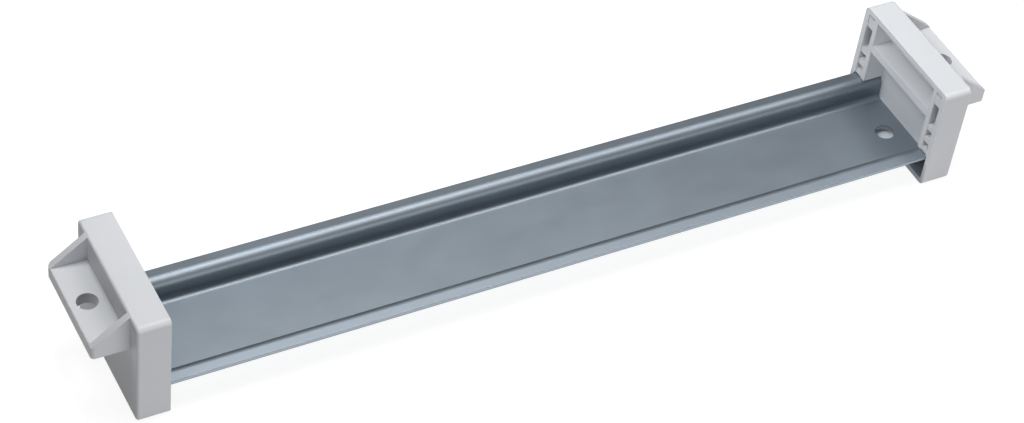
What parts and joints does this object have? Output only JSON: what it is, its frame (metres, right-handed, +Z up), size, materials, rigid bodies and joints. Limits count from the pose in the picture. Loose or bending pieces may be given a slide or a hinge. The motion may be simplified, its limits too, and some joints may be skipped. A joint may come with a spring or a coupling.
{
  "type": "din rail with end brackets",
  "caption": "Short top-hat mounting rail of zinc-plated steel, its ends seated in hollow moulded plastic end brackets with screw ears for fixing into an enclosure.",
  "frame": {"origin": "centre of the assembly's footprint, on the plane of the brackets' undersides", "axes": "+X along the rail, +Y across the rail, +Z up, out of the rail's open side"},
  "size_m": [0.2436, 0.038, 0.031],
  "materials": {
    "galvanised_steel": "bright zinc plating, rolled, slightly mottled",
    "grey_plastic": "matt moulded, light grey"
  },
  "bodies": {
    "root": {"rail": "galvanised_steel", "bracket_left": "grey_plastic", "bracket_right": "grey_plastic"}
  },
  "joints": []
}
